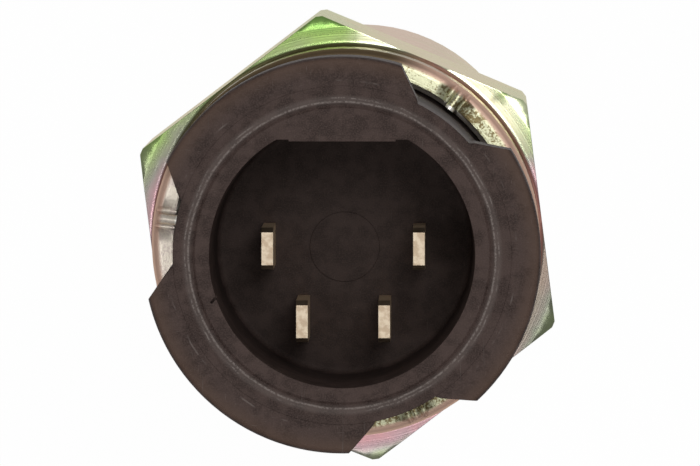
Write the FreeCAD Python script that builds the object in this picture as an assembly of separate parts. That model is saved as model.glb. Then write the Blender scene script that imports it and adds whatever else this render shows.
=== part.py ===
import FreeCAD, Part
import math
import os

# Screw-in speed sensor with a hexagon housing and a four-blade bayonet connector.
# Lengths are in millimetres and angles in degrees. The origin lies on the axis, in the face that seats on
# the gearbox. +Z runs along the axis towards the connector, and +Y points at the flat of the D shaped socket.

Vector = FreeCAD.Vector
AXIS = Vector(0, 0, 1)

# Housing, turned from hexagon bar
HEX_FLATS = 26.9
HEX_HEIGHT = 19.7
HEX_TURN = 37.3
HEX_FACE_DIAMETER = 29.2
CORNER_CHAMFER_WIDTH = 0.8
CORNER_CHAMFER_ANGLE = 30.0
BODY_DIAMETER = 25.6
BODY_LENGTH = 56.0
BODY_CHAMFER = 0.4
COLLAR_HEIGHT = 6.3
COLLAR_WALL = 1.0
STEP_FILLET = 0.4

# Lip of the collar, rolled over the connector and staked through the three bayonet notches
LIP_THICKNESS = 1.1
LIP_WIDTH = 1.75
LIP_GAP = 0.25
LIP_ROUNDING = 0.55
LIP_CHAMFER = 0.3
LIP_SLOPE = 0.15
STAKE_RIB_WIDTH = 0.7
STAKE_RIB_HEIGHT = 0.3
STAKE_DENT_WIDTH = 0.4
STAKE_DENT_DEPTH = 0.2

# Thread and the bore through it
THREAD_DIAMETER = 18.0
THREAD_PITCH = 1.5
THREAD_END = 16.0
UNDERCUT_WIDTH = 2.2
UNDERCUT_CLEARANCE = 0.1
THREAD_DEPTH_RATIO = 0.613
SEAL_STEP_WIDTH = 2.5

# Hole across one corner of the hexagon for the wire of a lead seal, and the flat on that corner
SEAL_WIRE_HOLE = 1.8
SEAL_WIRE_ANGLE = HEX_TURN + 180.0
SEAL_WIRE_INSET = 1.6
SEAL_FLAT_DEPTH = 1.2

# Ring in the seating face
SEAT_SEAL_SECTION = 1.8
SEAT_GROOVE_SIDE_CLEARANCE = 0.15
SEAT_GROOVE_INSET = 0.15

# Connector moulding
CONNECTOR_PROJECTION = 16.5
BARREL_WALL = 2.42
LOBE_HEIGHT = 1.95
LOBE_THICKNESS = 4.5
LOBE_SETBACK = 0.03
LOBE_EDGE_RADIUS = 0.4
LOBE_END_CHAMFER = 0.12
LOBE_RAMP_ANGLE = 14.0
LOBE_RAMP_LEAD_ANGLE = 4.0
LOBE_RAMP_RISE = 0.9
STOP_RIB_WIDTH = 1.6
STOP_RIB_LENGTH = 3.0
STOP_RIB_INSET = 0.4
NOTCH_COUNT = 3
NOTCH_ANGLE = 52.4
NOTCH_FLOOR_WIDTH = 4.8
NOTCH_FLARE_ANGLE = 56.0
SHOULDER_HEIGHT = 4.2
SHOULDER_CLEARANCE = 0.05
SPIGOT_LENGTH = 4.5
SPIGOT_CLEARANCE = 0.1
SPIGOT_WALL = 1.5
WEB_THICKNESS = 4.0

# D shaped socket in the connector
SOCKET_DIAMETER = 17.66
SOCKET_DEPTH = 11.5
SOCKET_FLAT = 7.68
SOCKET_DRAFT_ANGLE = 1.0
SOCKET_FLOOR_FILLET = 0.45
KEY_PAD_WIDTH = 7.1
KEY_PAD_HEIGHT = 0.12
FACE_GROOVE_INSET = 1.3
FACE_GROOVE_WIDTH = 0.36
FACE_GROOVE_DEPTH = 0.12
GATE_MARK_DIAMETER = 4.7
GATE_MARK_HEIGHT = 0.1
NICK_ANGLE = 198.5
NICK_SLANT = 31.0
NICK_WIDTH = 0.15
NICK_DEPTH = 0.5
NICK_LENGTH = 1.2

# Contact blades
BLADE_WIDTH = 2.8
BLADE_THICKNESS = 0.8
BLADE_LENGTH = 7.0
BLADE_TIP_CHAMFER = 0.3
BLADE_TIP_LENGTH = 0.7
UPPER_ROW_PITCH = 10.14
UPPER_ROW_Y = 0.2
LOWER_ROW_PITCH = 5.5
LOWER_ROW_Y = -4.68
TAIL_WIDTH = 1.4
TAIL_LENGTH = 3.6

# Ring between the connector and the housing
CONNECTOR_SEAL_SECTION = 2.0
CONNECTOR_SEAL_CLEARANCE = 0.05

# Probe tube
PROBE_REACH = 25.0
STUB_WALL = 0.98
PROBE_FIT = 0.02
PROBE_WALL = 0.5
PROBE_RIM_THICKNESS = 1.0
PROBE_SEAT_HEIGHT = 4.0
PROBE_TIP_RADIUS = 0.8

# Sensing element at the tip of the probe
CARRIER_CLEARANCE = 0.05
CARRIER_LENGTH = 13.5
MAGNET_DIAMETER = 7.6
MAGNET_LENGTH = 5.0
MAGNET_FLOOR = 0.5
POCKET_CLEARANCE = 0.05
POLE_THICKNESS = 1.0
CHIP_SIZE = (4.1, 3.0, 1.5)
CHIP_LEAD_COUNT = 3
CHIP_LEAD_PITCH = 1.27
CHIP_LEAD_DIAMETER = 0.4
CHIP_LEAD_INSET = 1.5
CHIP_LEAD_RISE = 1.6
LEAD_GROOVE_MARGIN = 0.35

# Circuit board and what is on it
BOARD_THICKNESS = 1.6
BOARD_EDGE_CLEARANCE = 0.25
BOARD_TOP_GAP = 7.3
BOARD_HEAD_GAP = 1.5
BOARD_SLOT_DEPTH = 3.0
CONTROLLER_SIZE = (6.0, 6.0, 1.2)
CRYSTAL_SIZE = (3.2, 2.0, 0.9)
REGULATOR_SIZE = (4.4, 3.6, 1.5)
CAPACITOR_SIZE = (3.5, 2.8, 1.9)
DIODE_SIZE = (2.6, 4.2, 2.1)
RESISTOR_SIZE = (1.0, 1.6, 0.5)
RESISTOR_COUNT = 4
RESISTOR_PITCH = 1.9
DRIVER_SIZE = (4.9, 3.9, 1.5)
DRIVER_DROP = 6.0
SMALL_CAPACITOR_SIZE = (2.0, 1.25, 0.9)
SMALL_CAPACITOR_COUNT = 3
SMALL_CAPACITOR_PITCH = 9.0
PART_GAP = 0.6
WIRE_DIAMETER = 0.8
WIRE_BEND_RADIUS = 0.9
WIRE_DROP = 5.4

# Places along the axis
HEX_LOW = BODY_LENGTH
HEX_HIGH = HEX_LOW + HEX_HEIGHT
RIM = HEX_HIGH + COLLAR_HEIGHT
FRONT = RIM + CONNECTOR_PROJECTION
LOBE_BACK = FRONT - LOBE_THICKNESS
SOCKET_FLOOR = FRONT - SOCKET_DEPTH
WEB_BACK = SOCKET_FLOOR - WEB_THICKNESS
SHOULDER_TOP = RIM - LIP_THICKNESS
SHOULDER_LOW = SHOULDER_TOP - SHOULDER_HEIGHT
SEAL_STEP = SHOULDER_LOW - CONNECTOR_SEAL_SECTION
SPIGOT_LOW = SEAL_STEP - SPIGOT_LENGTH
TAIL_END = WEB_BACK - TAIL_LENGTH
TIP = -PROBE_REACH
PROBE_FLOOR = TIP + PROBE_WALL
CARRIER_TOP = PROBE_FLOOR + CARRIER_LENGTH
BOARD_LOW = CARRIER_TOP - BOARD_SLOT_DEPTH
BOARD_HEAD_LOW = PROBE_SEAT_HEIGHT + PROBE_RIM_THICKNESS + BOARD_HEAD_GAP
BOARD_TOP = WEB_BACK - BOARD_TOP_GAP
WIRE_HEIGHT = TAIL_END - WIRE_DROP
PARTS_TOP = WIRE_HEIGHT - WIRE_DIAMETER / 2 - PART_GAP

# Radii that follow from the sizes above
BARREL_RADIUS = SOCKET_DIAMETER / 2 + BARREL_WALL
LOBE_RADIUS = BARREL_RADIUS + LOBE_HEIGHT
LIP_RADIUS = BARREL_RADIUS + LIP_GAP
COLLAR_RADIUS = LIP_RADIUS + LIP_WIDTH
COLLAR_BORE_RADIUS = COLLAR_RADIUS - COLLAR_WALL
SHOULDER_RADIUS = COLLAR_BORE_RADIUS - SHOULDER_CLEARANCE
BORE_RADIUS = COLLAR_BORE_RADIUS - SEAL_STEP_WIDTH
SPIGOT_RADIUS = BORE_RADIUS - SPIGOT_CLEARANCE
POCKET_RADIUS = SPIGOT_RADIUS - SPIGOT_WALL
THREAD_CORE_RADIUS = THREAD_DIAMETER / 2 - THREAD_DEPTH_RATIO * THREAD_PITCH
UNDERCUT_RADIUS = THREAD_CORE_RADIUS - UNDERCUT_CLEARANCE
PROBE_RADIUS = UNDERCUT_RADIUS - STUB_WALL
PROBE_INSIDE = PROBE_RADIUS - PROBE_WALL
CARRIER_RADIUS = PROBE_INSIDE - CARRIER_CLEARANCE
MAGNET_RADIUS = MAGNET_DIAMETER / 2
SEAT_GROOVE_HALF_WIDTH = SEAT_SEAL_SECTION / 2 + SEAT_GROOVE_SIDE_CLEARANCE
SEAT_SEAL_RADIUS = THREAD_DIAMETER / 2 + SEAT_GROOVE_INSET + SEAT_GROOVE_HALF_WIDTH

# The board stands on edge midway between the two rows of blades, as wide as its surroundings allow
BOARD_MIDDLE = (UPPER_ROW_Y + LOWER_ROW_Y) / 2
BOARD_UPPER_FACE = BOARD_MIDDLE + BOARD_THICKNESS / 2
BOARD_LOWER_FACE = BOARD_MIDDLE - BOARD_THICKNESS / 2
BOARD_FAR_FACE = max(abs(BOARD_UPPER_FACE), abs(BOARD_LOWER_FACE))
BOARD_HEAD_HALF_WIDTH = math.sqrt(POCKET_RADIUS**2 - BOARD_FAR_FACE**2) - BOARD_EDGE_CLEARANCE
BOARD_TONGUE_HALF_WIDTH = math.sqrt(PROBE_INSIDE**2 - BOARD_FAR_FACE**2) - BOARD_EDGE_CLEARANCE
BLADE_PLACES = [
    (-UPPER_ROW_PITCH / 2, UPPER_ROW_Y),
    (UPPER_ROW_PITCH / 2, UPPER_ROW_Y),
    (-LOWER_ROW_PITCH / 2, LOWER_ROW_Y),
    (LOWER_ROW_PITCH / 2, LOWER_ROW_Y),
]
NOTCH_ANGLES = [NOTCH_ANGLE + 360.0 * i / NOTCH_COUNT for i in range(NOTCH_COUNT)]

# How far a cutting body runs past the surface that it cuts, and how near counts as on an edge
PAST = 1.0
CLOSE = 0.01


def disc(radius, low, high):
    """A plain round bar on the axis."""
    return Part.makeCylinder(radius, high - low, Vector(0, 0, low), AXIS)


def ring(outer, inner, low, high):
    """A plain round tube on the axis."""
    return disc(outer, low, high).cut(disc(inner, low - PAST, high + PAST))


def turned(outline):
    """The solid that an outline of (radius, height) points turns about the axis."""
    points = [Vector(radius, 0, height) for radius, height in outline]
    face = Part.Face(Part.makePolygon(points + points[:1]))
    return face.revolve(Vector(0, 0, 0), AXIS, 360)


def block(x, y, z):
    """A box between two values on each axis."""
    corner = Vector(x[0], y[0], z[0])
    return Part.makeBox(x[1] - x[0], y[1] - y[0], z[1] - z[0], corner)


def centred_block(width, depth, height, x, y, z):
    """A box by its sizes and its middle."""
    return block(
        (x - width / 2, x + width / 2), (y - depth / 2, y + depth / 2), (z - height / 2, z + height / 2)
    )


def prism(outline, low, high):
    """The solid between two heights over an outline of (x, y) points."""
    points = [Vector(x, y, low) for x, y in outline]
    face = Part.Face(Part.makePolygon(points + points[:1]))
    return face.extrude(Vector(0, 0, high - low))


def spun(shape, angle):
    """A copy turned about the axis."""
    copy = shape.copy()
    copy.rotate(Vector(0, 0, 0), AXIS, angle)
    return copy


def toroid(middle_radius, section, height):
    """A round-section ring on the axis."""
    return Part.makeTorus(middle_radius, section / 2, Vector(0, 0, height), AXIS)


def edges_at(shape, test):
    """The edges whose every point passes the test."""
    found = []
    for edge in shape.Edges:
        points = edge.discretize(5)
        if all(test(point) for point in points):
            found.append(edge)
    return found


def bent_rod(points, diameter, bend_radius):
    """A round rod through the points, with a tangent arc at each inner one."""
    edges = []
    start = points[0]
    for before, corner, after in zip(points, points[1:], points[2:]):
        arriving = (corner - before).normalize()
        leaving = (after - corner).normalize()
        turn = arriving.getAngle(leaving)
        setback = bend_radius * math.tan(turn / 2)
        first = corner - arriving * setback
        last = corner + leaving * setback
        middle = (leaving - arriving).normalize()
        centre = corner + middle * (bend_radius / math.cos(turn / 2))
        edges.append(Part.LineSegment(start, first).toShape())
        edges.append(Part.Arc(first, centre - middle * bend_radius, last).toShape())
        start = last
    edges.append(Part.LineSegment(start, points[-1]).toShape())
    direction = (points[1] - points[0]).normalize()
    section = Part.Wire(Part.makeCircle(diameter / 2, points[0], direction))
    return Part.Wire(edges).makePipeShell([section], True, False)


def hexagon_bar(low, high):
    """A length of the plain hexagon bar."""
    corner = HEX_FLATS / math.sqrt(3)
    turns = [math.radians(HEX_TURN + 60 * i) for i in range(6)]
    return prism([(corner * math.cos(turn), corner * math.sin(turn)) for turn in turns], low, high)


def hexagon():
    """The hexagon with its corners chamfered at both ends, as a bar is after turning."""
    face = HEX_FACE_DIAMETER / 2
    outer = face + CORNER_CHAMFER_WIDTH
    drop = CORNER_CHAMFER_WIDTH * math.tan(math.radians(CORNER_CHAMFER_ANGLE))
    blank = turned(
        [
            (0, HEX_LOW),
            (face, HEX_LOW),
            (outer, HEX_LOW + drop),
            (outer, HEX_HIGH - drop),
            (face, HEX_HIGH),
            (0, HEX_HIGH),
        ]
    )
    return hexagon_bar(HEX_LOW, HEX_HIGH).common(blank)


def collar():
    """The turned collar above the hexagon, with its lip rolled inwards at the top."""
    radius = COLLAR_RADIUS
    inner_top = RIM - LIP_SLOPE
    start = Vector(0, 0, HEX_HIGH - PAST)
    quarter = math.sqrt(0.5) * LIP_ROUNDING
    points = {
        "axis_low": start,
        "wall_low": Vector(radius, 0, HEX_HIGH - PAST),
        "wall_high": Vector(radius, 0, RIM - LIP_ROUNDING),
        "top": Vector(radius - LIP_ROUNDING, 0, RIM),
        "inner": Vector(LIP_RADIUS + LIP_CHAMFER, 0, inner_top),
        "edge": Vector(LIP_RADIUS, 0, inner_top - LIP_CHAMFER),
        "lip_low": Vector(LIP_RADIUS, 0, SHOULDER_TOP),
        "axis_high": Vector(0, 0, SHOULDER_TOP),
    }
    bend = Vector(radius - LIP_ROUNDING + quarter, 0, RIM - LIP_ROUNDING + quarter)
    order = ["axis_low", "wall_low", "wall_high", "top", "inner", "edge", "lip_low", "axis_high", "axis_low"]
    edges = []
    for first, last in zip(order, order[1:]):
        if first == "wall_high":
            edges.append(Part.Arc(points[first], bend, points[last]).toShape())
        else:
            edges.append(Part.LineSegment(points[first], points[last]).toShape())
    blank = Part.Face(Part.Wire(edges)).revolve(Vector(0, 0, 0), AXIS, 360)
    fillet = ring(radius + STEP_FILLET, radius - PAST, HEX_HIGH, HEX_HIGH + STEP_FILLET)
    hollow = toroid(radius + STEP_FILLET, 2 * STEP_FILLET, HEX_HIGH + STEP_FILLET)
    within_flats = fillet.cut(hollow).common(hexagon_bar(HEX_HIGH, HEX_HIGH + STEP_FILLET))
    return blank.fuse(within_flats)


def radial_rod(diameter, height, angle, offset):
    """A rod across the lip, lying along a radius and moved sideways by an offset."""
    start = Vector(LIP_RADIUS - PAST, offset, height)
    length = LIP_WIDTH + 2 * PAST
    return spun(Part.makeCylinder(diameter / 2, length, start, Vector(1, 0, 0)), angle)


def staked(body):
    """Three stakes in the lip, each a rib left standing between two dents of the punch."""
    half_rib = STAKE_RIB_WIDTH / 2
    dent_radius = (STAKE_DENT_WIDTH**2 / 4 + STAKE_DENT_DEPTH**2) / (2 * STAKE_DENT_DEPTH)
    rib_radius = (half_rib**2 + STAKE_RIB_HEIGHT**2) / (2 * STAKE_RIB_HEIGHT)
    side = half_rib + STAKE_DENT_WIDTH / 2
    lip = ring(COLLAR_RADIUS - LIP_ROUNDING / 2, LIP_RADIUS, SHOULDER_TOP, RIM + STAKE_RIB_HEIGHT)
    for angle in NOTCH_ANGLES:
        for offset in (-side, side):
            body = body.cut(radial_rod(2 * dent_radius, RIM + dent_radius - STAKE_DENT_DEPTH, angle, offset))
        rib = radial_rod(2 * rib_radius, RIM + STAKE_RIB_HEIGHT - rib_radius, angle, 0)
        body = body.fuse(rib.common(lip))
    return body


def stub():
    """The threaded stub below the seat, at the thread's outer diameter, with its undercut and lead."""
    outer = THREAD_DIAMETER / 2
    relief = UNDERCUT_RADIUS
    lead = outer - relief
    return turned(
        [
            (0, HEX_LOW),
            (relief, HEX_LOW),
            (relief, -UNDERCUT_WIDTH + lead),
            (outer, -UNDERCUT_WIDTH),
            (outer, -THREAD_END + lead),
            (relief, -THREAD_END),
            (0, -THREAD_END),
        ]
    )


def seal_wire_hole():
    """The cross hole near one corner, square to the corner's own radius."""
    middle = HEX_FLATS / math.sqrt(3) - SEAL_FLAT_DEPTH - SEAL_WIRE_INSET
    start = Vector(middle, -HEX_FLATS / 2, (HEX_LOW + HEX_HIGH) / 2)
    return spun(Part.makeCylinder(SEAL_WIRE_HOLE / 2, HEX_FLATS, start, Vector(0, 1, 0)), SEAL_WIRE_ANGLE)


def seal_flat():
    """The cutter for the flat on the corner with the cross hole."""
    corner = HEX_FLATS / math.sqrt(3)
    cut = block(
        (corner - SEAL_FLAT_DEPTH, corner + PAST),
        (-HEX_FLATS / 2, HEX_FLATS / 2),
        (HEX_LOW - PAST, HEX_HIGH + PAST),
    )
    return spun(cut, SEAL_WIRE_ANGLE)


def seat_groove():
    """The groove that holds the seat ring flush with the seating face."""
    outer = SEAT_SEAL_RADIUS + SEAT_GROOVE_HALF_WIDTH
    return ring(outer, SEAT_SEAL_RADIUS - SEAT_GROOVE_HALF_WIDTH, -PAST, SEAT_SEAL_SECTION)


def housing():
    """The whole steel housing in one piece."""
    radius = BODY_DIAMETER / 2
    round_part = turned(
        [
            (0, 0),
            (radius - BODY_CHAMFER, 0),
            (radius, BODY_CHAMFER),
            (radius, HEX_LOW + PAST),
            (0, HEX_LOW + PAST),
        ]
    )
    body = round_part.fuse([hexagon(), collar(), stub()])
    body = staked(body)
    through = disc(PROBE_RADIUS + PROBE_FIT, -THREAD_END - PAST, PROBE_SEAT_HEIGHT + PAST)
    bore = disc(BORE_RADIUS, PROBE_SEAT_HEIGHT, SEAL_STEP + PAST)
    counterbore = disc(COLLAR_BORE_RADIUS, SEAL_STEP, SHOULDER_TOP)
    for tool in (through, bore, counterbore, seat_groove(), seal_flat(), seal_wire_hole()):
        body = body.cut(tool)
    return body


def notch(low, high):
    """The cutter for one bayonet notch about the +X direction: a narrow floor and flared walls."""
    floor = BARREL_RADIUS
    start = floor - PAST
    end = LOBE_RADIUS + PAST
    slope = math.tan(math.radians(NOTCH_FLARE_ANGLE))
    half_floor = NOTCH_FLOOR_WIDTH / 2
    half_start = half_floor - PAST * slope
    half_end = half_floor + PAST * slope + (end - floor) * slope
    narrow = max(half_start, half_floor / 2)
    outline = [(start, -narrow), (floor, -half_floor), (end, -half_end), (end, half_end), (floor, half_floor)]
    return prism(outline + [(start, narrow)], low, high)


def lobe_ring():
    """The bayonet flange: a ring with three notches, rounded in front and ramped behind."""
    inner = BARREL_RADIUS - PAST
    outer = LOBE_RADIUS
    top = FRONT - LOBE_SETBACK
    body = ring(outer, inner, LOBE_BACK, top)
    rim = edges_at(body, lambda p: p.z > top - CLOSE and math.hypot(p.x, p.y) > outer - CLOSE)
    body = body.makeFillet(LOBE_EDGE_RADIUS, rim)
    for angle in NOTCH_ANGLES:
        body = body.cut(spun(notch(LOBE_BACK - PAST, top + PAST), angle))
        body = body.cut(end_chamfers(top, angle))
        body = body.cut(lead_ramp(angle))
        body = body.fuse(stop_rib(angle))
    return body


def wall_line(side):
    """One wall of the notch about +X: where it leaves the barrel, and its direction outwards."""
    flare = math.radians(NOTCH_FLARE_ANGLE)
    foot = Vector(BARREL_RADIUS, side * NOTCH_FLOOR_WIDTH / 2, 0)
    return foot, Vector(math.cos(flare), side * math.sin(flare), 0)


def end_chamfers(top, angle):
    """Bevels along the front edges of the two walls of a notch."""
    tools = []
    for side in (-1, 1):
        foot, outward = wall_line(side)
        into_lobe = Vector(-outward.y * side, outward.x * side, 0)
        start = foot - outward * PAST
        corners = [
            start - into_lobe * PAST + Vector(0, 0, top + PAST),
            start + into_lobe * (LOBE_END_CHAMFER + PAST) + Vector(0, 0, top + PAST),
            start - into_lobe * PAST + Vector(0, 0, top - LOBE_END_CHAMFER - PAST),
        ]
        face = Part.Face(Part.makePolygon(corners + corners[:1]))
        tools.append(face.extrude(outward * LOBE_RADIUS))
    return spun(tools[0].fuse(tools[1]), angle)


def lobe_end_angle():
    """Half the angle that a notch spans at the outside of the flange."""
    foot, outward = wall_line(1)
    radius = LOBE_RADIUS
    along = foot.dot(outward)
    reach = -along + math.sqrt(along**2 + radius**2 - foot.dot(foot))
    corner = foot + outward * reach
    return math.degrees(math.atan2(corner.y, corner.x))


def lead_ramp(angle):
    """The bevel behind the first end of a lobe, where a turning coupling ring climbs on."""
    start = angle - lobe_end_angle() + LOBE_RAMP_LEAD_ANGLE
    radius = LOBE_RADIUS
    length = math.radians(LOBE_RAMP_ANGLE + LOBE_RAMP_LEAD_ANGLE) * radius
    corners = [
        Vector(BARREL_RADIUS, 0, LOBE_BACK - PAST),
        Vector(BARREL_RADIUS, 0, LOBE_BACK + LOBE_RAMP_RISE),
        Vector(BARREL_RADIUS, -length, LOBE_BACK),
        Vector(BARREL_RADIUS, -length, LOBE_BACK - PAST),
    ]
    face = Part.Face(Part.makePolygon(corners + corners[:1]))
    return spun(face.extrude(Vector(radius, 0, 0)), start)


def stop_rib(angle):
    """The rib behind the last end of a lobe, which stops the coupling ring."""
    along = math.degrees((STOP_RIB_INSET + STOP_RIB_WIDTH / 2) / LOBE_RADIUS)
    rib = block(
        (BARREL_RADIUS - PAST / 2, LOBE_RADIUS - LOBE_END_CHAMFER),
        (-STOP_RIB_WIDTH / 2, STOP_RIB_WIDTH / 2),
        (LOBE_BACK - STOP_RIB_LENGTH, LOBE_BACK + LOBE_THICKNESS / 2),
    )
    return spun(rib, angle + lobe_end_angle() + along)


def socket():
    """The cutter for the D shaped socket, slightly tapered, with its rounded floor edge."""
    mouth = SOCKET_DIAMETER / 2
    taper = math.tan(math.radians(SOCKET_DRAFT_ANGLE))
    floor_radius = mouth - SOCKET_DEPTH * taper
    past_radius = mouth + PAST * taper
    cone = Part.makeCone(floor_radius, past_radius, SOCKET_DEPTH + PAST, Vector(0, 0, SOCKET_FLOOR), AXIS)
    heights = (SOCKET_FLOOR - PAST, FRONT + 2 * PAST)
    cutter = cone.common(block((-mouth - PAST, mouth + PAST), (-mouth - PAST, SOCKET_FLAT), heights))
    cutter = cutter.makeFillet(SOCKET_FLOOR_FILLET, edges_at(cutter, lambda p: p.z < SOCKET_FLOOR + CLOSE))
    pad = block(
        (-KEY_PAD_WIDTH / 2, KEY_PAD_WIDTH / 2),
        (SOCKET_FLAT - KEY_PAD_HEIGHT, SOCKET_FLAT + PAST),
        heights,
    )
    return cutter.cut(pad)


def nick():
    """The small nick in the edge of the socket's mouth."""
    heights = (FRONT - NICK_LENGTH, FRONT + PAST)
    cut = spun(block((-PAST, NICK_DEPTH), (-NICK_WIDTH / 2, NICK_WIDTH / 2), heights), NICK_SLANT)
    cut.translate(Vector(SOCKET_DIAMETER / 2, 0, 0))
    return spun(cut, NICK_ANGLE)


def face_groove():
    """The fine V groove round the connector's front face."""
    middle = BARREL_RADIUS - FACE_GROOVE_INSET
    half = FACE_GROOVE_WIDTH / 2
    return turned([(middle - half, FRONT), (middle, FRONT - FACE_GROOVE_DEPTH), (middle + half, FRONT)])


def connector_body():
    """The connector moulding: barrel, bayonet flange, crimp shoulder, spigot and cored back."""
    body = turned(
        [
            (0, SPIGOT_LOW),
            (SPIGOT_RADIUS, SPIGOT_LOW),
            (SPIGOT_RADIUS, SHOULDER_LOW),
            (SHOULDER_RADIUS, SHOULDER_LOW),
            (SHOULDER_RADIUS, SHOULDER_TOP),
            (BARREL_RADIUS, SHOULDER_TOP),
            (BARREL_RADIUS, FRONT),
            (0, FRONT),
        ]
    )
    body = body.fuse(lobe_ring())
    body = body.cut(socket())
    body = body.cut(disc(POCKET_RADIUS, SPIGOT_LOW - PAST, WEB_BACK))
    body = body.cut(face_groove())
    body = body.cut(nick())
    body = body.fuse(disc(GATE_MARK_DIAMETER / 2, SOCKET_FLOOR - PAST, SOCKET_FLOOR + GATE_MARK_HEIGHT))
    web_middle = SOCKET_FLOOR - WEB_THICKNESS / 2
    for x, y in BLADE_PLACES:
        slot = centred_block(BLADE_THICKNESS, BLADE_WIDTH, WEB_THICKNESS + 2 * PAST, x, y, web_middle)
        body = body.cut(slot)
    return body.removeSplitter()


def contact_blade(x, y):
    """One stamped blade: bevelled tip, full width through the web and a narrow tail behind it."""
    top = SOCKET_FLOOR + BLADE_LENGTH
    half = BLADE_WIDTH / 2
    tail = TAIL_WIDTH / 2
    tip = half - BLADE_TIP_CHAMFER
    outline = [
        (-tail, TAIL_END),
        (tail, TAIL_END),
        (tail, WEB_BACK),
        (half, WEB_BACK),
        (half, top - BLADE_TIP_LENGTH),
        (tip, top),
        (-tip, top),
        (-half, top - BLADE_TIP_LENGTH),
        (-half, WEB_BACK),
        (-tail, WEB_BACK),
    ]
    points = [Vector(x - BLADE_THICKNESS / 2, y + across, height) for across, height in outline]
    face = Part.Face(Part.makePolygon(points + points[:1]))
    return face.extrude(Vector(BLADE_THICKNESS, 0, 0))


def connector_seal():
    """The rubber ring pinched between the connector's shoulder and the step in the housing."""
    middle = COLLAR_BORE_RADIUS - CONNECTOR_SEAL_SECTION / 2 - CONNECTOR_SEAL_CLEARANCE
    return toroid(middle, CONNECTOR_SEAL_SECTION, SEAL_STEP + CONNECTOR_SEAL_SECTION / 2)


def seat_seal():
    """The rubber ring in the seating face, pressed flush as it is when fitted."""
    return toroid(SEAT_SEAL_RADIUS, SEAT_SEAL_SECTION, SEAT_SEAL_SECTION / 2)


def sensor_tube():
    """The drawn probe tube, closed at the tip, with the rim that seats inside the housing."""
    rim_low = PROBE_SEAT_HEIGHT
    rim_high = rim_low + PROBE_RIM_THICKNESS
    tube = disc(PROBE_RADIUS, TIP, rim_high)
    tube = tube.makeFillet(PROBE_TIP_RADIUS, edges_at(tube, lambda p: p.z < TIP + CLOSE))
    rim = disc(BORE_RADIUS - PROBE_FIT, rim_low, rim_high)
    return tube.fuse(rim).cut(disc(PROBE_INSIDE, PROBE_FLOOR, rim_high + PAST))


def chip_lead_path(x):
    """The points of one lead of the sensing chip, from the chip up to the board."""
    offset = CARRIER_RADIUS - CHIP_LEAD_INSET
    low = PROBE_FLOOR + CHIP_SIZE[2] / 2
    high = CARRIER_TOP + CHIP_LEAD_RISE
    return [
        Vector(x, -CHIP_SIZE[1] / 2, low),
        Vector(x, -offset, low),
        Vector(x, -offset, high),
        Vector(x, BOARD_LOWER_FACE, high),
    ]


def chip_lead_columns():
    """Where the chip's leads stand across the carrier."""
    return [(i - (CHIP_LEAD_COUNT - 1) / 2) * CHIP_LEAD_PITCH for i in range(CHIP_LEAD_COUNT)]


def element_carrier():
    """The moulded carrier that holds the magnet, the pole disc, the chip and the board's foot."""
    body = disc(CARRIER_RADIUS, PROBE_FLOOR, CARRIER_TOP)
    magnet_low = PROBE_FLOOR + CHIP_SIZE[2] + MAGNET_FLOOR
    body = body.cut(disc(MAGNET_RADIUS + POCKET_CLEARANCE, magnet_low, CARRIER_TOP + PAST))
    chip_width, chip_depth, chip_height = CHIP_SIZE
    chip_pocket = centred_block(chip_width, chip_depth, 2 * chip_height, 0, 0, PROBE_FLOOR)
    lead_zone = CHIP_LEAD_PITCH * (CHIP_LEAD_COUNT - 1) / 2 + CHIP_LEAD_DIAMETER / 2 + LEAD_GROOVE_MARGIN
    groove_face = CHIP_LEAD_INSET - CARRIER_RADIUS + CHIP_LEAD_DIAMETER / 2 + LEAD_GROOVE_MARGIN
    across = (-lead_zone, lead_zone)
    outside = -CARRIER_RADIUS - PAST
    upright = block(across, (outside, groove_face), (PROBE_FLOOR - PAST, CARRIER_TOP + PAST))
    foot = block(across, (outside, -chip_depth / 2), (PROBE_FLOOR - PAST, PROBE_FLOOR + chip_height))
    slot = block(
        (outside, -outside),
        (BOARD_LOWER_FACE - POCKET_CLEARANCE, BOARD_UPPER_FACE + POCKET_CLEARANCE),
        (BOARD_LOW, CARRIER_TOP + PAST),
    )
    for tool in (chip_pocket, upright, foot, slot):
        body = body.cut(tool)
    return body


def bias_magnet():
    """The permanent magnet behind the chip."""
    low = PROBE_FLOOR + CHIP_SIZE[2] + MAGNET_FLOOR
    return disc(MAGNET_RADIUS, low, low + MAGNET_LENGTH)


def pole_disc():
    """The soft iron disc on the back of the magnet."""
    low = PROBE_FLOOR + CHIP_SIZE[2] + MAGNET_FLOOR + MAGNET_LENGTH
    return disc(MAGNET_RADIUS, low, low + POLE_THICKNESS)


def hall_chip():
    """The sensing chip, flat against the floor of the probe tube."""
    return centred_block(*CHIP_SIZE, 0, 0, PROBE_FLOOR + CHIP_SIZE[2] / 2)


def chip_leads():
    """The chip's leads, which run up the carrier's groove and turn in to the board."""
    bend = 2 * CHIP_LEAD_DIAMETER
    rods = [bent_rod(chip_lead_path(x), CHIP_LEAD_DIAMETER, bend) for x in chip_lead_columns()]
    return Part.makeCompound(rods)


def circuit_board():
    """The board: a wide head behind the connector and a tongue down into the probe."""
    faces = (BOARD_LOWER_FACE, BOARD_UPPER_FACE)
    head = block((-BOARD_HEAD_HALF_WIDTH, BOARD_HEAD_HALF_WIDTH), faces, (BOARD_HEAD_LOW, BOARD_TOP))
    across = (-BOARD_TONGUE_HALF_WIDTH, BOARD_TONGUE_HALF_WIDTH)
    tongue = block(across, faces, (BOARD_LOW, BOARD_HEAD_LOW + PAST))
    return head.fuse(tongue).removeSplitter()


def on_upper_face(size, x, top):
    """A component by (width, length, thickness) and its top on the board's face towards +Y."""
    width, length, thickness = size
    return centred_block(width, thickness, length, x, BOARD_UPPER_FACE + thickness / 2, top - length / 2)


def on_lower_face(size, x, top):
    """A component by (width, length, thickness) and its top on the board's face towards -Y."""
    width, length, thickness = size
    return centred_block(width, thickness, length, x, BOARD_LOWER_FACE - thickness / 2, top - length / 2)


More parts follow.
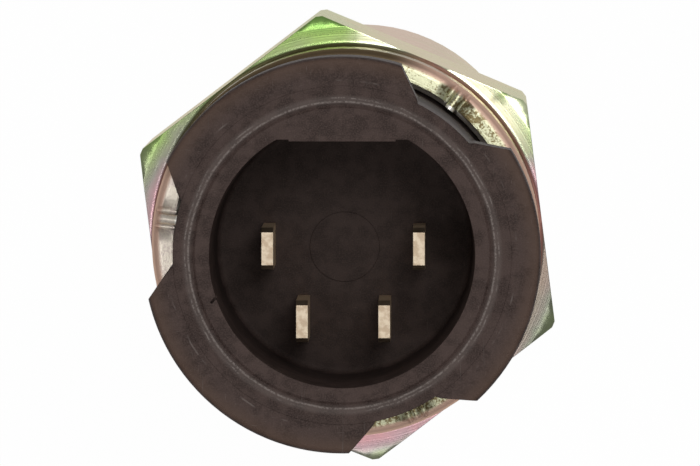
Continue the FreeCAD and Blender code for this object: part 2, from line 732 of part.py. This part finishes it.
def upper_face_parts():
    """The controller with its crystal and the line driver below it, and resistors beside them."""
    below_controller = PARTS_TOP - CONTROLLER_SIZE[1] - PART_GAP
    below_crystal = below_controller - CRYSTAL_SIZE[1] - DRIVER_DROP
    column = CONTROLLER_SIZE[0] / 2 + PART_GAP + RESISTOR_SIZE[0] / 2
    resistors = [
        on_upper_face(RESISTOR_SIZE, column, PARTS_TOP - i * RESISTOR_PITCH) for i in range(RESISTOR_COUNT)
    ]
    return {
        "microcontroller": on_upper_face(CONTROLLER_SIZE, 0, PARTS_TOP),
        "crystal": on_upper_face(CRYSTAL_SIZE, 0, below_controller),
        "line_driver": on_upper_face(DRIVER_SIZE, 0, below_crystal),
        "resistors": Part.makeCompound(resistors),
    }


def lower_face_parts():
    """The regulator and the diode side by side, with the large capacitor and three small ones below."""
    regulator_x = -(REGULATOR_SIZE[0] + PART_GAP) / 2
    diode_x = (DIODE_SIZE[0] + PART_GAP) / 2
    below_both = PARTS_TOP - max(REGULATOR_SIZE[1], DIODE_SIZE[1]) - PART_GAP
    below_large = below_both - CAPACITOR_SIZE[1]
    small_capacitors = [
        on_lower_face(SMALL_CAPACITOR_SIZE, 0, below_large - (i + 1) * SMALL_CAPACITOR_PITCH)
        for i in range(SMALL_CAPACITOR_COUNT)
    ]
    return {
        "voltage_regulator": on_lower_face(REGULATOR_SIZE, regulator_x, PARTS_TOP),
        "protection_diode": on_lower_face(DIODE_SIZE, diode_x, PARTS_TOP),
        "filter_capacitor": on_lower_face(CAPACITOR_SIZE, 0, below_both),
        "small_capacitors": Part.makeCompound(small_capacitors),
    }


def lead_wire(x, y):
    """The wire from one blade's tail down and in to the nearer face of the board."""
    face = BOARD_UPPER_FACE if y > BOARD_MIDDLE else BOARD_LOWER_FACE
    points = [Vector(x, y, TAIL_END), Vector(x, y, WIRE_HEIGHT), Vector(x, face, WIRE_HEIGHT)]
    return bent_rod(points, WIRE_DIAMETER, WIRE_BEND_RADIUS)


def potting(inside):
    """The cast resin that fills the housing behind the connector and the probe above the carrier."""
    top = SPIGOT_LOW
    rim_high = PROBE_SEAT_HEIGHT + PROBE_RIM_THICKNESS
    body = disc(BORE_RADIUS, rim_high, top).fuse(disc(PROBE_INSIDE, CARRIER_TOP, rim_high))
    for piece in inside:
        body = body.cut(piece)
    return body


def pieces():
    """Every piece of the sensor by the name of its node."""
    made = {
        "housing": housing(),
        "connector_body": connector_body(),
        "connector_seal": connector_seal(),
        "seat_seal": seat_seal(),
        "sensor_tube": sensor_tube(),
        "element_carrier": element_carrier(),
        "bias_magnet": bias_magnet(),
        "pole_disc": pole_disc(),
        "hall_chip": hall_chip(),
        "chip_leads": chip_leads(),
        "circuit_board": circuit_board(),
    }
    board_parts = {**upper_face_parts(), **lower_face_parts()}
    made.update(board_parts)
    for i, (x, y) in enumerate(BLADE_PLACES):
        made[f"contact_blade_{i + 1}"] = contact_blade(x, y)
        made[f"lead_wire_{i + 1}"] = lead_wire(x, y)
    made["potting"] = potting([made["circuit_board"], made["chip_leads"], *board_parts.values()])
    return made


os.makedirs("parts", exist_ok=True)
for name, shape in pieces().items():
    shape.exportStep(f"parts/{name}.step")
    print(f"{name}: {len(shape.Solids)} solids, {shape.Volume:.1f} mm3, valid {shape.isValid()}")
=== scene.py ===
import bmesh
import bpy
import math
from mathutils import Matrix, Vector


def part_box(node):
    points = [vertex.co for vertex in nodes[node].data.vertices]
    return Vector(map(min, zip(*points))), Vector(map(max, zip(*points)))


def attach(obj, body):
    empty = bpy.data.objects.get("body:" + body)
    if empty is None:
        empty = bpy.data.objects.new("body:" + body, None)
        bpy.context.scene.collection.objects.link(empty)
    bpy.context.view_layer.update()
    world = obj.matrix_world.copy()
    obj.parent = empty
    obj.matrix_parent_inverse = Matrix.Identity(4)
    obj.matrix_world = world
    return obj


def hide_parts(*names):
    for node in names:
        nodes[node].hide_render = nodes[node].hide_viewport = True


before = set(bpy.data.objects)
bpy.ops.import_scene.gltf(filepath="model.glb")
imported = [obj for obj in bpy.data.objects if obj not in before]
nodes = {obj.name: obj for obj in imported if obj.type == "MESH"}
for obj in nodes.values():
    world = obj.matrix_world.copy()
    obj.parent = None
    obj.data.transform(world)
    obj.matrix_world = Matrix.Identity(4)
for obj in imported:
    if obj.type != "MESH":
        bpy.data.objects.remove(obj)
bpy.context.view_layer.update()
MM = 0.001

# The view
# The photograph looks straight into the connector from about 0.6 m, a little above and right of its axis.
# The flat of the D shaped socket is at the top.
mouth = Vector((0, 0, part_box("connector_body")[1].z))
VIEW_DISTANCE = 590 * MM
VIEW_SLOPE = Vector((0.0159, 0.0517, 1.0))
AIM_OFFSET = Vector((0.53, 1.49, 0)) * MM
LENS = 458.2

eye = mouth + VIEW_SLOPE * VIEW_DISTANCE
forward = (mouth + AIM_OFFSET - eye).normalized()
right = forward.cross(Vector((0, 1, 0))).normalized()
camera = bpy.data.objects.new("camera", bpy.data.cameras.new("camera"))
camera.data.lens = LENS
camera.data.sensor_width = 36
camera.data.clip_start = 0.05
camera.data.clip_end = 20
turn = Matrix((right, right.cross(forward), -forward)).transposed()
camera.matrix_world = Matrix.Translation(eye) @ turn.to_4x4()
bpy.context.scene.collection.objects.link(camera)
bpy.context.scene.camera = camera
bpy.context.scene.view_settings.view_transform = "Standard"

# Studio
# The sensor stands on its probe on a plain white sheet in an even white room. Four soft boxes light it, a
# large one at the upper right and weaker ones below, at the left and at the lower right. They hang close to
# the view axis, because the flat zinc faces mirror only what is near it.
FLOOR_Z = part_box("sensor_tube")[0].z
FLOOR_SIZE = 3.0
FLOOR_WHITE = (0.86, 0.86, 0.86)
PAPER_SHARE = 0.98
ROOM_LIGHT = 0.34
LAMP_DISTANCE = 0.9


class Level:
    """A shader socket as a number, colour or vector for plain arithmetic."""

    def __init__(self, graph, socket):
        self.graph = graph
        self.socket = socket

    def calc(self, operation, *others):
        sockets = dict(enumerate((self,) + others))
        return self.graph.add("ShaderNodeMath", {"operation": operation}, sockets)

    def __add__(self, other):
        return self.calc("ADD", other)

    __radd__ = __add__

    def __mul__(self, other):
        return self.calc("MULTIPLY", other)

    __rmul__ = __mul__

    def __sub__(self, other):
        return self.calc("SUBTRACT", other)

    def __rsub__(self, other):
        return (self * -1.0) + other

    def band(self, low, high):
        """0 below low, 1 above high and smooth between, or the other way round if high is under low."""
        limits = {"From Min": min(low, high), "From Max": max(low, high)}
        ends = {"To Min": float(low > high), "To Max": float(low < high)}
        settings = {"interpolation_type": "SMOOTHSTEP"}
        return self.graph.add("ShaderNodeMapRange", settings, {"Value": self, **limits, **ends})


class Graph:
    """The shader nodes of a material or of the room."""

    def __init__(self, tree):
        self.tree = tree

    def add(self, kind, settings=None, sockets=None, output=0):
        """A new node by its type, its settings and the values or links of its sockets."""
        node = self.tree.nodes.new(kind)
        for setting, value in (settings or {}).items():
            if setting == "stops":
                for stop in value[2:]:
                    node.color_ramp.elements.new(stop[0])
                for element, (position, colour) in zip(node.color_ramp.elements, sorted(value)):
                    element.position = position
                    element.color = (*colour, 1.0)
            else:
                setattr(node, setting, value)
        for socket, value in (sockets or {}).items():
            self.join(value, node.inputs[socket])
        return Level(self, node.outputs[output])

    def join(self, value, socket):
        """Link a level to a socket, or set the socket's own value."""
        if isinstance(value, Level):
            self.tree.links.new(value.socket, socket)
        elif socket.type == "RGBA":
            socket.default_value = (*value, 1.0)
        else:
            socket.default_value = value

    def seen_by(self, first, second):
        """1 for the two kinds of ray that see plain white here, and 0 for the others."""
        return self.add("ShaderNodeLightPath", output=first).calc(
            "MAXIMUM", self.add("ShaderNodeLightPath", output=second)
        )


sheet = bmesh.new()
bmesh.ops.create_grid(sheet, x_segments=1, y_segments=1, size=FLOOR_SIZE / 2)
bmesh.ops.translate(sheet, verts=sheet.verts, vec=(0, 0, FLOOR_Z))
floor_mesh = bpy.data.meshes.new("paper_sheet")
sheet.to_mesh(floor_mesh)
sheet.free()
floor = bpy.data.objects.new("paper_sheet", floor_mesh)
bpy.context.scene.collection.objects.link(floor)
paper = bpy.data.materials.new("white_paper")
paper.use_nodes = True
paper.node_tree.nodes.remove(paper.node_tree.nodes["Principled BSDF"])
graph = Graph(paper.node_tree)
matt = graph.add("ShaderNodeBsdfDiffuse", sockets={"Color": FLOOR_WHITE})
glow = graph.add("ShaderNodeEmission", sockets={"Color": (1, 1, 1), "Strength": 1.0})
share = graph.seen_by("Is Camera Ray", "Is Glossy Ray") * PAPER_SHARE
both = graph.add("ShaderNodeMixShader", sockets={0: share, 1: matt, 2: glow})
graph.join(both, paper.node_tree.nodes["Material Output"].inputs["Surface"])
floor.data.materials.append(paper)

world = bpy.data.worlds.new("white_room")
bpy.context.scene.world = world
world.use_nodes = True
graph = Graph(world.node_tree)
room = world.node_tree.nodes["Background"]
seen = graph.seen_by("Is Camera Ray", "Is Transmission Ray")
strength = seen.calc("MULTIPLY_ADD", 1 - ROOM_LIGHT, ROOM_LIGHT)
graph.join((1, 1, 1), room.inputs["Color"])
graph.join(strength, room.inputs["Strength"])


def soft_box(name, azimuth, slant, length, width, watts):
    """A soft box aimed at the mouth, long in its own slant direction from the view axis."""
    light = bpy.data.lights.new(name, "AREA")
    light.shape = "RECTANGLE"
    light.size = length
    light.size_y = width
    light.energy = watts
    lamp = bpy.data.objects.new(name, light)
    aim = Matrix.Rotation(math.radians(azimuth), 4, "Z") @ Matrix.Rotation(math.radians(slant), 4, "Y")
    lamp.matrix_world = Matrix.Translation(mouth) @ aim @ Matrix.Translation((0, 0, LAMP_DISTANCE))
    lamp.visible_camera = False
    bpy.context.scene.collection.objects.link(lamp)


soft_box("right_box", 60, 22, 0.34, 0.32, 3.4)
soft_box("lower_box", -92, 32, 0.30, 0.30, 0.7)
soft_box("left_strip", 188, 22, 0.30, 0.14, 0.75)
soft_box("fill_box", -60, 14, 0.20, 0.24, 0.5)

# Housing
# Turned from 27 mm hexagon steel bar, with the lip of its collar rolled over the connector and staked
# into the three bayonet notches. Zinc plated and yellow chromated, so that the thin film on the turned
# faces shows green, yellow and pink. The thread is rolled, M18 x 1.5, and runs out in an undercut.
THREAD_RADIUS = 9.0 * MM
THREAD_PITCH = 1.5 * MM
THREAD_ROOT = 8.08 * MM
UNDERCUT_RADIUS = 7.98 * MM
UNDERCUT_END = -2.2 * MM
THREAD_END = -16.0 * MM
STUB_BORE = 6.99 * MM
CUT_HEIGHT = -0.9 * MM
TURN_STEPS = 96
SAME_HEIGHT = 0.01 * MM
CREST_FLAT = 0.19
ROOT_FLAT = 0.25


def thread_envelope(height):
    """The greatest radius of the stub at a height: the undercut, the full thread or the lead chamfer."""
    above_undercut = UNDERCUT_RADIUS + max(0.0, UNDERCUT_END + (THREAD_RADIUS - UNDERCUT_RADIUS) - height)
    above_end = UNDERCUT_RADIUS + max(0.0, height - THREAD_END)
    return min(above_undercut, above_end, THREAD_RADIUS)


def fix_order(work):
    """Rebuild a bmesh in an order that is the same in each run, which the order after a spin isn't."""
    bmesh.ops.recalc_face_normals(work, faces=work.faces)
    verts = sorted(work.verts, key=lambda vert: tuple(vert.co))
    for rank, vert in enumerate(verts):
        vert.index = rank
    faces = []
    for face in work.faces:
        loop = [vert.index for vert in face.verts]
        first = loop.index(min(loop))
        faces.append(loop[first:] + loop[:first])
    mesh = bpy.data.meshes.new("in_order")
    mesh.from_pydata([tuple(vert.co) for vert in verts], [], sorted(faces))
    work.clear()
    work.from_mesh(mesh)
    bpy.data.meshes.remove(mesh)


def threaded_stub():
    """The helical thread as a closed tube from the cut through the undercut to the end."""
    stub = bmesh.new()
    slope = (1 - CREST_FLAT - ROOT_FLAT) / 2
    profile = [
        (THREAD_ROOT, 0.0),
        (THREAD_ROOT, ROOT_FLAT / 2),
        ((THREAD_ROOT + THREAD_RADIUS) / 2, ROOT_FLAT / 2 + slope / 2),
        (THREAD_RADIUS, ROOT_FLAT / 2 + slope),
        (THREAD_RADIUS, ROOT_FLAT / 2 + slope + CREST_FLAT),
        ((THREAD_ROOT + THREAD_RADIUS) / 2, 1 - ROOT_FLAT / 2 - slope / 2),
        (THREAD_ROOT, 1 - ROOT_FLAT / 2),
        (THREAD_ROOT, 1.0),
    ]
    turns = math.ceil((CUT_HEIGHT - THREAD_END) / THREAD_PITCH) + 2
    start = THREAD_END - THREAD_PITCH
    verts = [stub.verts.new((radius, 0, start + rise * THREAD_PITCH)) for radius, rise in profile]
    edges = [stub.edges.new(pair) for pair in zip(verts, verts[1:])]
    bmesh.ops.spin(
        stub, geom=verts + edges, cent=(0, 0, 0), axis=(0, 0, 1), angle=math.tau * turns,
        steps=TURN_STEPS * turns, dvec=(0, 0, THREAD_PITCH / TURN_STEPS),
    )
    bmesh.ops.remove_doubles(stub, verts=stub.verts, dist=0.002 * MM)
    fix_order(stub)
    for height, side in ((CUT_HEIGHT, 1), (THREAD_END, -1)):
        bmesh.ops.bisect_plane(
            stub, geom=stub.verts[:] + stub.edges[:] + stub.faces[:], dist=1e-7,
            plane_co=(0, 0, height), plane_no=(0, 0, side), clear_outer=True,
        )
    for vert in stub.verts:
        radius = vert.co.xy.length
        limit = thread_envelope(vert.co.z)
        if radius > limit:
            vert.co.x *= limit / radius
            vert.co.y *= limit / radius
    for height in (CUT_HEIGHT, THREAD_END):
        border = [edge for edge in stub.edges if edge.is_boundary]
        rim = [edge for edge in border if abs(edge.verts[0].co.z - height) < SAME_HEIGHT]
        circle = bmesh.ops.create_circle(stub, segments=TURN_STEPS, radius=STUB_BORE)["verts"]
        bmesh.ops.translate(stub, verts=circle, vec=(0, 0, height))
        inner = list(dict.fromkeys(edge for vert in circle for edge in vert.link_edges))
        bmesh.ops.bridge_loops(stub, edges=rim + inner)
    open_edges = [edge for edge in stub.edges if edge.is_boundary]
    bmesh.ops.bridge_loops(stub, edges=open_edges)
    fix_order(stub)
    return stub


def shade_smooth(mesh, angle):
    """Smooth shading with every edge sharper than an angle kept crisp."""
    mesh.shade_smooth()
    mesh.set_sharp_from_angle(angle=math.radians(angle))


body = bmesh.new()
body.from_mesh(nodes["housing"].data)
bmesh.ops.remove_doubles(body, verts=body.verts, dist=0.0005 * MM)
bmesh.ops.bisect_plane(
    body, geom=body.verts[:] + body.edges[:] + body.faces[:], dist=1e-7,
    plane_co=(0, 0, CUT_HEIGHT), plane_no=(0, 0, -1), clear_outer=True,
)
cut_edges = [edge for edge in body.edges if edge.is_boundary]
bmesh.ops.bridge_loops(body, edges=cut_edges)
stub = threaded_stub()
stub_mesh = bpy.data.meshes.new("stub")
stub.to_mesh(stub_mesh)
stub.free()
body.from_mesh(stub_mesh)
bpy.data.meshes.remove(stub_mesh)
bmesh.ops.dissolve_limit(body, angle_limit=math.radians(0.3), verts=body.verts, edges=body.edges)
housing_mesh = bpy.data.meshes.new("turned_housing")
body.to_mesh(housing_mesh)
body.free()
shade_smooth(housing_mesh, 24)
housing = bpy.data.objects.new("turned_housing", housing_mesh)
bpy.context.scene.collection.objects.link(housing)
weigh = housing.modifiers.new("flat_faces_first", "WEIGHTED_NORMAL")
weigh.keep_sharp = True
weigh.weight = 90
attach(housing, "root")
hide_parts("housing")

RIM_Z = 82.0
LIP_EDGE_RADIUS = 12.8
COLLAR_RADIUS = 13.25
LIP_CROWN = 14.0
HEX_FACE_Z = 75.7


class Finish(Graph):
    """A material worked out from the place on the piece in millimetres, so that its grain, marks and colours
    keep the size that they have on the real sensor."""

    def __init__(self, name, **constants):
        self.material = bpy.data.materials.new(name)
        self.material.use_nodes = True
        super().__init__(self.material.node_tree)
        self.shader = self.tree.nodes["Principled BSDF"]
        for socket, constant in constants.items():
            socket = socket.replace("_", " ").title().replace("Ior", "IOR")
            self.shader.inputs[socket].default_value = constant
        place = self.add("ShaderNodeTexCoord", output="Object")
        scale = {0: place, "Scale": 1 / MM}
        self.place = self.add("ShaderNodeVectorMath", {"operation": "SCALE"}, scale, "Vector")
        self.x, self.y, self.z = (
            self.add("ShaderNodeSeparateXYZ", sockets={0: self.place}, output=axis) for axis in "XYZ"
        )
        self.radius = (self.x * self.x + self.y * self.y).calc("SQRT")

    def upward(self):
        """How far the surface faces along the axis: 1 towards the mouth, 0 at the sides."""
        facing = self.add("ShaderNodeTexCoord", output="Normal")
        return self.add("ShaderNodeSeparateXYZ", sockets={0: facing}, output="Z")

    def noise(self, size, detail=2.0, stretch=(1, 1, 1), shift=0.0, turn=(0, 0, 0), place=None):
        """Soft noise with features of about the given size in millimetres, stretched along the axes."""
        scale = tuple(1 / (size * s) for s in stretch)
        sockets = {"Vector": place or self.place, "Location": (shift,) * 3, "Scale": scale, "Rotation": turn}
        mapped = self.add("ShaderNodeMapping", sockets=sockets)
        return self.add("ShaderNodeTexNoise", sockets={"Vector": mapped, "Scale": 1.0, "Detail": detail})

    def ramp(self, level, stops):
        return self.add("ShaderNodeValToRGB", {"stops": stops}, {0: level})

    def blend(self, level, first, second):
        settings = {"data_type": "RGBA", "clamp_factor": True}
        return self.add("ShaderNodeMix", settings, {0: level, 6: first, 7: second}, 2)

    def paint(self, **levels):
        """Join levels to the shader's own sockets."""
        for socket, level in levels.items():
            self.join(level, self.shader.inputs[socket.replace("_", " ").title()])

    def relief(self, height, depth, edge_rounding=0.0):
        """Join a height between 0 and 1 as relief of the given depth in millimetres, with rounded edges."""
        sockets = {"Height": height, "Strength": 1.0, "Distance": depth * MM}
        if edge_rounding:
            rounded = self.add("ShaderNodeBevel", {"samples": 6}, {"Radius": edge_rounding * MM}, "Normal")
            sockets["Normal"] = rounded
        self.paint(normal=self.add("ShaderNodeBump", sockets=sockets, output="Normal"))

    def put_on(self, piece):
        piece.data.materials.clear()
        piece.data.materials.append(self.material)


zinc = Finish("yellow_chromated_zinc", metallic=1.0, roughness=0.3, specular_tint=(0.80, 0.76, 0.62, 1.0))
front = zinc.upward().band(0.5, 0.85)
azimuth = zinc.y.calc("ARCTAN2", zinc.x)

# The film on the hexagon's face is pink where it is thin and green at the corners and at the top. A dull grey
# at the right is a painted reflection and the near-white at the upper right is a painted highlight.
cloud = zinc.noise(5.0, detail=3)
blotch = zinc.noise(1.3, detail=3, shift=7.0)
corner = zinc.radius.band(13.7, 15.3)
above = zinc.y.band(2.0, 9.0)
top = azimuth.band(1.35, 1.65) * azimuth.band(2.55, 2.15)
left = zinc.x.band(-12.6, -14.2) * zinc.y.band(-7.0, -4.0)
film = 0.03 + corner * 0.46 + above * 0.40 + (cloud - 0.5) * 0.6 + (blotch - 0.5) * 0.25 + top * 0.22
film = film * (1 - left * 0.7) + left * 0.3
face_colour = zinc.ramp(
    film,
    [
        (0.00, (0.60, 0.31, 0.33)),
        (0.18, (0.46, 0.32, 0.34)),
        (0.34, (0.32, 0.31, 0.27)),
        (0.52, (0.32, 0.38, 0.20)),
        (0.74, (0.36, 0.53, 0.16)),
        (1.00, (0.24, 0.42, 0.11)),
    ],
)
# Painted reflection: the face is painted a dull grey at the right, where it mirrors no lamp.
painted_dull_reflection = azimuth.band(0.25, -0.05) * azimuth.band(-0.80, -0.50) * (0.75 - corner * 0.4)
face_colour = zinc.blend(painted_dull_reflection, face_colour, (0.18, 0.20, 0.14))
# Painted highlight: near-white fans on the face at the upper right, where the lamps shine.
painted_highlight_fans = azimuth.band(0.38, 0.76) * azimuth.band(1.60, 1.44) * (cloud + blotch).band(0.70, 1.05)
face_colour = zinc.blend(painted_highlight_fans, face_colour, (0.90, 0.92, 0.66))

# The film on the hexagon's sides and on the round body turns from pink to golden towards the seat.
on_body = zinc.z.band(56.2, 55.8)
golden = 1 - azimuth.band(0.5, 0.7) * azimuth.band(1.7, 1.5)
side_film = film + (zinc.noise(4.0, detail=2, shift=15.0) - 0.5) - on_body * azimuth.band(0.9, 1.3) * 0.4
side_film = side_film + zinc.z.band(50.0, 30.0) * golden * 0.45
side_colour = zinc.ramp(
    side_film,
    [
        (0.00, (0.74, 0.46, 0.42)),
        (0.30, (0.62, 0.51, 0.36)),
        (0.65, (0.60, 0.54, 0.31)),
        (1.00, (0.50, 0.54, 0.30)),
    ],
)
pink_body = on_body * (1 - golden) * azimuth.band(0.8, 1.1) * 0.55
side_colour = zinc.blend(pink_body, side_colour, (0.52, 0.33, 0.29))

# The lip is mottled from rolling, with a pink outer edge, a painted highlight along its inner edge and a
# painted highlight on its paler left side. The collar's wall and foot are pink too. All three have painted
# shade at the upper left.
mottle = zinc.noise(0.16, detail=5, shift=11.0)
patch = zinc.noise(1.1, detail=2, shift=12.0)
on_lip = zinc.z.band(RIM_Z - 0.62, RIM_Z - 0.45)
lip_edge = zinc.radius.band(LIP_EDGE_RADIUS - 0.2, LIP_EDGE_RADIUS + 0.1)
# Painted shade: the lip's edge, the collar's wall and its foot are painted dark at the upper left, in the
# shade of the upper left lobe.
painted_shade = azimuth.band(1.05, 1.35) * azimuth.band(2.85, 2.60)
lip_colour = zinc.blend((mottle + patch).band(0.84, 1.06), (0.16, 0.125, 0.06), (0.50, 0.50, 0.34))
# Painted highlight: the left side of the lip is painted paler.
lip_colour = zinc.blend(zinc.x.band(-8.0, -10.0) * 0.6, lip_colour, (0.95, 0.82, 0.76))
edge_colour = zinc.blend(painted_shade, (0.64, 0.44, 0.35), (0.12, 0.085, 0.05))
lip_colour = zinc.blend(lip_edge, lip_colour, edge_colour)
# Painted highlight: a near-white line along the lip's inner edge.
lip_colour = zinc.blend(zinc.radius.band(11.80, 11.70), lip_colour, (0.95, 0.92, 0.84))
on_wall = zinc.z.band(HEX_FACE_Z + 0.25, HEX_FACE_Z + 0.45)
wall_colour = zinc.blend(painted_shade, (0.36, 0.19, 0.16), (0.12, 0.085, 0.05))
foot = (zinc.radius - COLLAR_RADIUS - 0.08).calc("ABSOLUTE").band(0.20, 0.10)
foot = foot * (zinc.z - HEX_FACE_Z - 0.2).calc("ABSOLUTE").band(0.5, 0.3)
foot_colour = zinc.blend(painted_shade, (0.34, 0.15, 0.12), (0.09, 0.075, 0.035))

# Rings from turning run round the axis, and the rolled lip is rougher and crowned.
rings = zinc.add("ShaderNodeCombineXYZ", sockets={0: zinc.radius, 1: zinc.z})
fine_rings = zinc.noise(0.09, detail=2, place=rings)
wide_rings = zinc.noise(0.5, detail=1, place=rings, shift=3.0)
speck = zinc.noise(0.12, detail=2, shift=4.0)
colour = zinc.blend(on_wall, zinc.blend(front, side_colour, face_colour), wall_colour)
colour = zinc.blend(on_lip, colour, lip_colour)
colour = zinc.blend(foot * 0.85, colour, foot_colour)
roughness = 0.24 + wide_rings * 0.1 + on_lip * 0.12 + on_lip * lip_edge * 0.2
roughness = roughness + foot * 0.2 + (speck - 0.5) * 0.1
crown = (LIP_EDGE_RADIUS - zinc.radius) * on_lip * (1 - lip_edge) * LIP_CROWN
height = fine_rings * 0.5 + wide_rings * 0.2 + speck * 0.06 + mottle * on_lip * 0.6 + crown
zinc.paint(base_color=colour, roughness=roughness)
zinc.relief(height, 0.016, edge_rounding=0.1)
zinc.put_on(housing)
zinc.put_on(nodes["housing"])

# Connector
# Injection moulded in one piece from black glass-filled nylon: barrel, three bayonet lobes and the D shaped
# socket. Its skin is matt, with fine pale glass fibres at the surface and light scratches from use.
tip_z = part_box("contact_blade_1")[1].z / MM
nylon = Finish(
    "glass_filled_nylon", roughness=0.55, specular_ior_level=0.2, specular_tint=(1.0, 0.88, 0.82, 1.0)
)
grain = nylon.noise(0.10, detail=5)
mottle = nylon.noise(1.1, detail=4, shift=5.0)
fibres = nylon.noise(0.05, detail=1, stretch=(1, 12, 1), turn=(0, 0, 0.6)).calc(
    "MAXIMUM", nylon.noise(0.05, detail=1, stretch=(12, 1, 1), turn=(0, 0, 0.3), shift=9.0)
)
fibre_mask = fibres.band(0.68, 0.80)
scratch = nylon.noise(0.14, detail=2, stretch=(1, 30, 30), turn=(0, 0, 0.9), shift=2.0).band(0.72, 0.76)
on_face = nylon.z.band(tip_z + 4.3, tip_z + 4.45)
wander = (nylon.noise(2.2, detail=3, shift=8.0) - 0.5) * 0.28
fray = nylon.noise(0.14, detail=4, shift=6.0)
long_fray = nylon.noise(1.6, detail=3, shift=13.0)
polish_line = (nylon.radius - 10.2 + wander * 0.6).calc("ABSOLUTE").band(0.10, 0.02) * fray.band(0.34, 0.62)
second_line = (nylon.radius - 10.45 + wander * 1.3).calc("ABSOLUTE").band(0.07, 0.02) * fray.band(0.62, 0.42)
haze = (nylon.radius - 10.3).calc("ABSOLUTE").band(0.45, 0.1) * 0.16
witness_line = (nylon.radius - 11.6 + wander).calc("ABSOLUTE").band(0.07, 0.02) * long_fray.band(0.52, 0.66)
lines = polish_line * 0.5 + second_line * long_fray.band(0.42, 0.6) * 0.45 + haze + witness_line * 0.3
lines = lines * on_face
# Painted shade: the nylon is painted darker deeper in the socket's cavity, and is rougher there.
cavity_shade_depth = nylon.z.band(tip_z + 1.0, tip_z - 4.0)
worn_edge = nylon.radius.band(11.7, 13.2) * on_face
base = nylon.blend(mottle.band(0.36, 0.64), (0.0215, 0.0130, 0.0112), (0.0480, 0.0315, 0.0275))
base = nylon.blend(grain.band(0.38, 0.70) * 0.6, base, (0.074, 0.050, 0.044))
base = nylon.blend(worn_edge * 0.7, base, (0.082, 0.050, 0.036))
base = nylon.blend(fibre_mask * 0.35, base, (0.16, 0.13, 0.115))
base = nylon.blend(scratch * 0.2, base, (0.14, 0.12, 0.11))
base = nylon.blend(lines, base, (0.22, 0.19, 0.175))
base = nylon.blend(cavity_shade_depth * 0.5, base, (0.010, 0.007, 0.006))
nylon.paint(base_color=base, roughness=0.52 + grain * 0.16 - fibre_mask * 0.05 + cavity_shade_depth * 0.1)
nylon.relief(grain * 0.7 + fibre_mask * 0.3 - scratch * 0.4, 0.022, edge_rounding=0.07)
nylon.put_on(nodes["connector_body"])

# Contact blades
# Stamped from brass strip and tinned. The tips are bevelled, and the sheared sides show the brass through
# the tin.
tin = Finish("tinned_brass", metallic=1.0, roughness=0.4)
wear = tin.noise(0.5, detail=4)
streak = tin.noise(0.08, detail=2, stretch=(1, 1, 12))
tin_colour = tin.blend(wear.band(0.4, 0.6), (0.36, 0.28, 0.20), (0.48, 0.40, 0.30))
tin_colour = tin.blend(tin.upward().band(0.5, 0.2), tin_colour, (0.95, 0.74, 0.50))
tin.paint(base_color=tin_colour, roughness=0.34 + streak * 0.16)
tin.relief(streak * 0.6 + wear * 0.4, 0.006, edge_rounding=0.06)
for i in range(1, 5):
    tin.put_on(nodes[f"contact_blade_{i}"])

# Seals
# Nitrile rubber rings, moulded, with a matt skin.
rubber = Finish("nitrile_rubber", roughness=0.7)
dust = rubber.noise(0.3, detail=4)
rubber_colour = rubber.blend(dust, (0.012, 0.012, 0.013), (0.03, 0.03, 0.031))
rubber.paint(base_color=rubber_colour, roughness=0.6 + dust * 0.2)
rubber.relief(dust, 0.01)
for name in ("connector_seal", "seat_seal"):
    rubber.put_on(nodes[name])

# Probe tube
# Deep drawn from thin stainless sheet, with fine draw lines along its wall and a rounded closed end.
steel = Finish("drawn_stainless", metallic=1.0, roughness=0.3)
draw = steel.noise(0.12, detail=2, stretch=(1, 1, 40))
haze = steel.noise(3.0, detail=3, shift=1.0)
steel_colour = steel.blend(haze, (0.52, 0.51, 0.49), (0.66, 0.65, 0.62))
steel.paint(base_color=steel_colour, roughness=0.24 + draw * 0.16)
steel.relief(draw, 0.006)
steel.put_on(nodes["sensor_tube"])

# Inner pieces
# Sealed in the housing: the carrier with its magnet, pole disc and sensing chip, the circuit board with
# what is soldered on it, the wires to the blades and the resin that holds them.


def plain_finish(name, dark, pale, roughness, size, depth, metallic=0.0):
    """A finish with a soft mottle and a fine relief of the given size and depth."""
    finish = Finish(name, metallic=metallic, roughness=roughness)
    mottled = finish.noise(size, detail=4)
    finish.paint(base_color=finish.blend(mottled, dark, pale), roughness=roughness - 0.08 + mottled * 0.16)
    finish.relief(mottled, depth)
    return finish


inner_finishes = {
    "element_carrier": plain_finish("natural_nylon", (0.50, 0.46, 0.37), (0.66, 0.62, 0.52), 0.5, 0.4, 0.01),
    "bias_magnet": plain_finish(
        "sintered_magnet", (0.30, 0.30, 0.32), (0.42, 0.42, 0.44), 0.4, 0.2, 0.004, 1.0
    ),
    "pole_disc": plain_finish("ground_iron", (0.42, 0.42, 0.42), (0.56, 0.56, 0.56), 0.3, 0.1, 0.003, 1.0),
    "hall_chip": plain_finish("chip_epoxy", (0.02, 0.02, 0.022), (0.04, 0.04, 0.042), 0.6, 0.1, 0.003),
    "chip_leads": plain_finish("tinned_copper", (0.60, 0.58, 0.54), (0.76, 0.75, 0.72), 0.3, 0.2, 0.002, 1.0),
    "circuit_board": plain_finish("green_board", (0.03, 0.16, 0.08), (0.06, 0.25, 0.13), 0.35, 0.6, 0.004),
    "crystal": plain_finish("nickel_can", (0.60, 0.60, 0.57), (0.72, 0.72, 0.69), 0.25, 0.3, 0.002, 1.0),
    "resistors": plain_finish("resistor_film", (0.03, 0.03, 0.032), (0.08, 0.08, 0.085), 0.4, 0.2, 0.003),
    "filter_capacitor": plain_finish(
        "capacitor_ceramic", (0.40, 0.28, 0.17), (0.52, 0.39, 0.26), 0.45, 0.2, 0.004
    ),
    "potting": plain_finish("black_resin", (0.012, 0.011, 0.010), (0.035, 0.032, 0.030), 0.25, 2.0, 0.01),
}
inner_finishes["small_capacitors"] = inner_finishes["filter_capacitor"]
for name in ("microcontroller", "line_driver", "voltage_regulator", "protection_diode"):
    inner_finishes[name] = inner_finishes["hall_chip"]
for i in range(1, 5):
    inner_finishes[f"lead_wire_{i}"] = inner_finishes["chip_leads"]
for name, finish in inner_finishes.items():
    finish.put_on(nodes[name])
